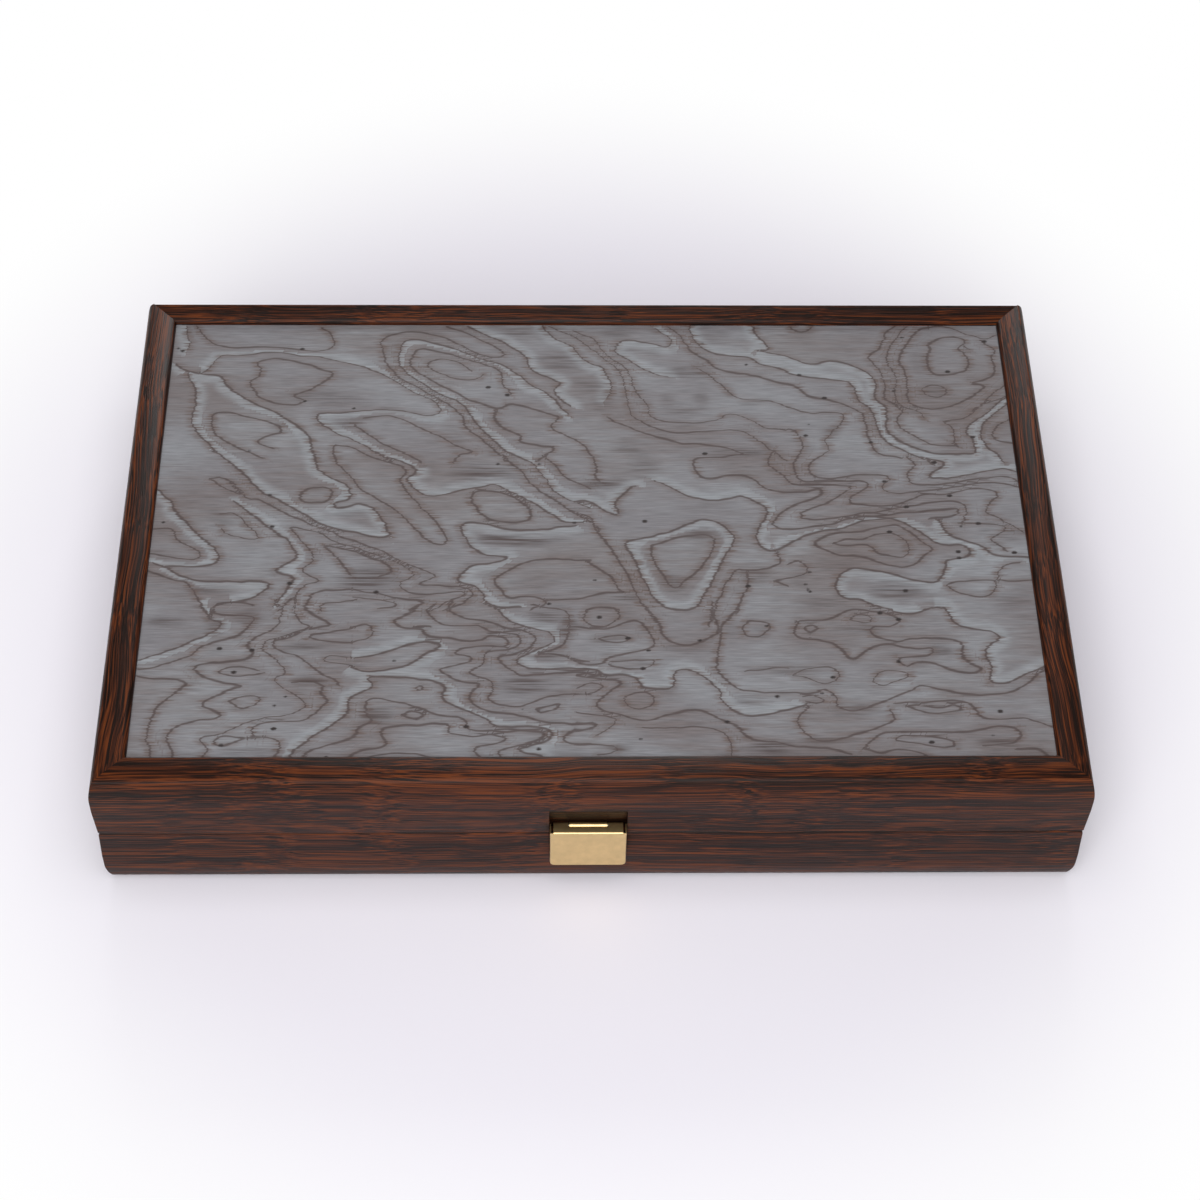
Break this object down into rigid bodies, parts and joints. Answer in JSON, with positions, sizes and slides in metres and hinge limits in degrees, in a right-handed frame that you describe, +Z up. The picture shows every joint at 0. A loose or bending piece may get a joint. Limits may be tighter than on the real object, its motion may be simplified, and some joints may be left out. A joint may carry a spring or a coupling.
{
  "type": "backgammon board folding case",
  "caption": "Closed folding backgammon case: mitred dark wood trays with burl veneer faces, butt hinges behind, brass box clasp in front, inlaid playing surfaces and checker racks inside.",
  "frame": {"origin": "middle of the closed case's bounding box, on the surface it lies on", "axes": "+Z up through the lid, +X along the long side, the clasp faces -Y and the hinges are at +Y"},
  "size_m": [0.4798, 0.3194, 0.0847],
  "materials": {
    "rail_wood": "dark stained oak, open grain, satin oil",
    "burl_veneer": "grey stained burl veneer, satin lacquer",
    "plywood": "birch plywood, edge hidden in the grooves",
    "field_veneer": "walnut veneer, satin lacquer",
    "point_light_veneer": "maple inlay, satin lacquer",
    "point_dark_veneer": "wenge inlay, satin lacquer",
    "clasp_brass": "satin brushed brass, lacquered",
    "hinge_brass": "polished brass",
    "screw_brass": "turned brass",
    "pin_steel": "drawn wire",
    "checker_light": "maple, lacquered",
    "checker_dark": "stained beech, lacquered",
    "dice_ivory": "cast resin, polished"
  },
  "bodies": {
    "base": {"base_front_rail": "rail_wood", "base_back_rail": "rail_wood", "base_left_rail": "rail_wood", "base_right_rail": "rail_wood", "base_panel": "plywood", "base_veneer": "burl_veneer", "base_field": "field_veneer", "base_points_light": "point_light_veneer", "base_points_dark": "point_dark_veneer", "base_rack_partition": "rail_wood", "base_rack_divider": "rail_wood", "hinge_left_base_leaf": "hinge_brass", "hinge_right_base_leaf": "hinge_brass", "hinge_base_screws": "screw_brass", "hinge_left_pin": "pin_steel", "hinge_right_pin": "pin_steel", "clasp_catch_plate": "clasp_brass", "clasp_catch_screws": "screw_brass", "checkers_light": "checker_light", "checkers_dark": "checker_dark", "dice": "dice_ivory"},
    "lid": {"lid_front_rail": "rail_wood", "lid_back_rail": "rail_wood", "lid_left_rail": "rail_wood", "lid_right_rail": "rail_wood", "lid_panel": "plywood", "lid_veneer": "burl_veneer", "lid_field": "field_veneer", "lid_points_light": "point_light_veneer", "lid_points_dark": "point_dark_veneer", "lid_rack_partition": "rail_wood", "lid_rack_divider": "rail_wood", "hinge_left_lid_leaf": "hinge_brass", "hinge_right_lid_leaf": "hinge_brass", "hinge_lid_screws": "screw_brass", "clasp_mount_plate": "clasp_brass", "clasp_mount_screws": "screw_brass", "clasp_pin": "pin_steel"},
    "clasp": {"clasp_flap": "clasp_brass"}
  },
  "joints": [
    {"name": "lid_hinge", "type": "hinge", "parent": "base", "child": "lid", "pos_m": [0, 0.15725, 0.04235], "axis": [-1, 0, 0], "range_deg": [0, 180]},
    {"name": "clasp_pivot", "type": "hinge", "parent": "lid", "child": "clasp", "pos_m": [-0.0021, -0.15395, 0.0459], "axis": [-1, 0, 0], "range_deg": [0, 85]}
  ]
}
